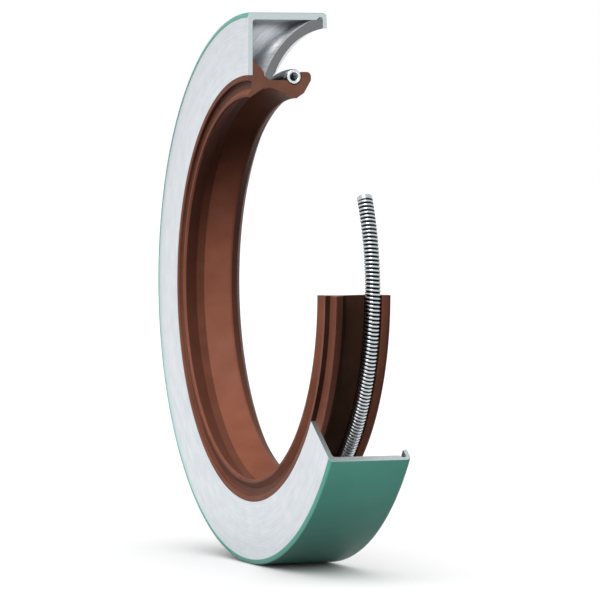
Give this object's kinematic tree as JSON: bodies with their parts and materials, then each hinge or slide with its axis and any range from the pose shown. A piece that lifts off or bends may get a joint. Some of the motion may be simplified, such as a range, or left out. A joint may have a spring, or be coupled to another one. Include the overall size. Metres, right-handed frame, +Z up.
{
  "type": "radial shaft seal",
  "caption": "Metal-cased rotary shaft seal with a sprung main lip, a dust lip and an inner stiffening case, cut away in steps to show its section.",
  "frame": {"origin": "on the seal's axis, halfway between its front and rear faces", "axes": "+Y along the axis from the front (air side) face to the oil side, +X towards the side that is cut away, +Z up through the plane where every ring starts"},
  "size_m": [0.0596, 0.01, 0.065],
  "materials": {
    "bright_steel": "drawn sheet, finely mottled, satin",
    "green_sealant": "thin satin lacquer",
    "grey_steel": "turned, satin",
    "brown_rubber": "moulded, slightly glossy",
    "spring_wire": "bright drawn wire"
  },
  "bodies": {
    "root": {"outer_case": "bright_steel", "bore_coating": "green_sealant", "inner_case": "grey_steel", "sealing_lip": "brown_rubber", "garter_spring": "spring_wire"}
  },
  "joints": []
}
